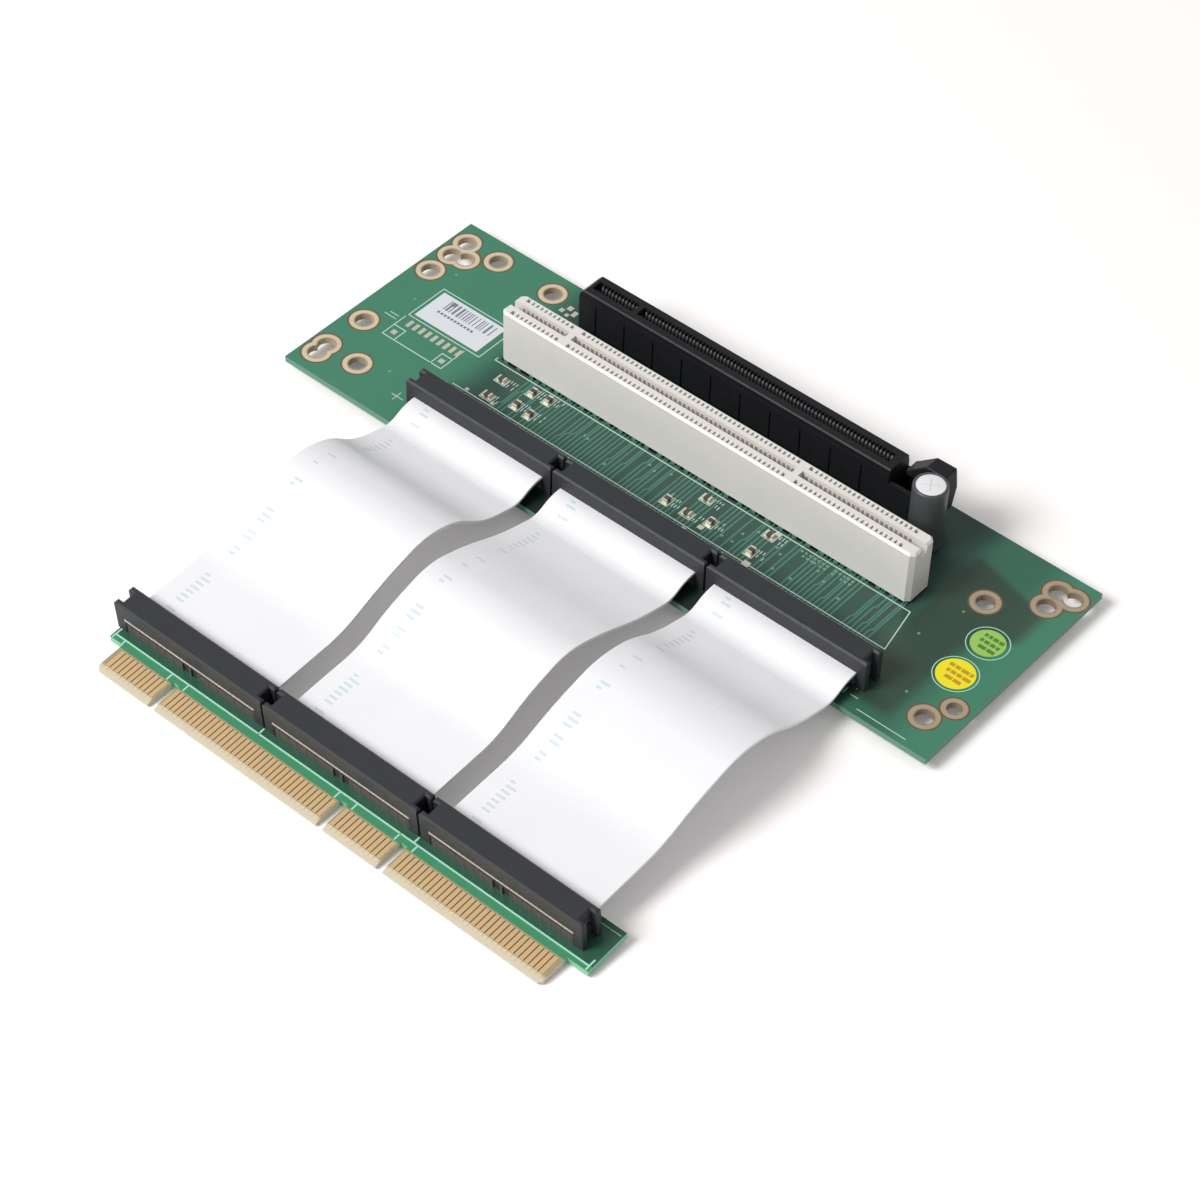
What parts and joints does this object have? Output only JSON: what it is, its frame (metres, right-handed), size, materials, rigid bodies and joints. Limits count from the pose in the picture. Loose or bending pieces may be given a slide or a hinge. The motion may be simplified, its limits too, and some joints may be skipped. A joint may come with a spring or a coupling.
{
  "type": "pcie riser card",
  "caption": "Long board with a white slot, a black slot with a pivoting latch and three flat ribbon cables that lead to a keyed edge card with gold fingers.",
  "frame": {"origin": "centre of the main board's four-hole pattern, on the board's underside", "axes": "+X along the board and its slots, +Y from the edge card towards the main board's rear edge, +Z out of the board's component side"},
  "size_m": [0.1825, 0.1564, 0.0214],
  "materials": {
    "board_green": "satin",
    "gold": "polished",
    "white_plastic": "matte",
    "black_plastic": "matte",
    "connector_plastic": "matte",
    "pin_metal": "satin",
    "ribbon_white": "satin",
    "aluminium": "satin",
    "sleeve_black": "satin",
    "chip_ceramic": "matte",
    "paper_white": "matte",
    "paper_yellow": "matte",
    "paper_green": "matte"
  },
  "bodies": {
    "riser": {"main_board": "board_green", "edge_card": "board_green", "card_fingers_top": "gold", "card_fingers_bottom": "gold", "pci_slot_housing": "white_plastic", "pci_slot_contacts": "gold", "pcie_slot_housing": "black_plastic", "pcie_slot_contacts": "gold", "capacitor_can": "aluminium", "capacitor_sleeve": "sleeve_black", "chip_capacitors": "chip_ceramic", "barcode_label": "paper_white", "sticker_yellow": "paper_yellow", "sticker_green": "paper_green", "board_connector_base_1": "connector_plastic", "board_connector_base_2": "connector_plastic", "board_connector_base_3": "connector_plastic", "board_connector_cover_1": "connector_plastic", "board_connector_cover_2": "connector_plastic", "board_connector_cover_3": "connector_plastic", "board_connector_pins_1": "pin_metal", "board_connector_pins_2": "pin_metal", "board_connector_pins_3": "pin_metal", "card_connector_base_1": "connector_plastic", "card_connector_base_2": "connector_plastic", "card_connector_base_3": "connector_plastic", "card_connector_cover_1": "connector_plastic", "card_connector_cover_2": "connector_plastic", "card_connector_cover_3": "connector_plastic", "card_connector_pins_1": "pin_metal", "card_connector_pins_2": "pin_metal", "card_connector_pins_3": "pin_metal", "ribbon_cable_1": "ribbon_white", "ribbon_cable_2": "ribbon_white", "ribbon_cable_3": "ribbon_white"},
    "latch": {"slot_latch": "black_plastic"}
  },
  "joints": [
    {"name": "latch_hinge", "type": "hinge", "parent": "riser", "child": "latch", "pos_m": [0.0488, 0.02325, 0.0047], "axis": [0, 1, 0], "range_deg": [0, 15]}
  ]
}
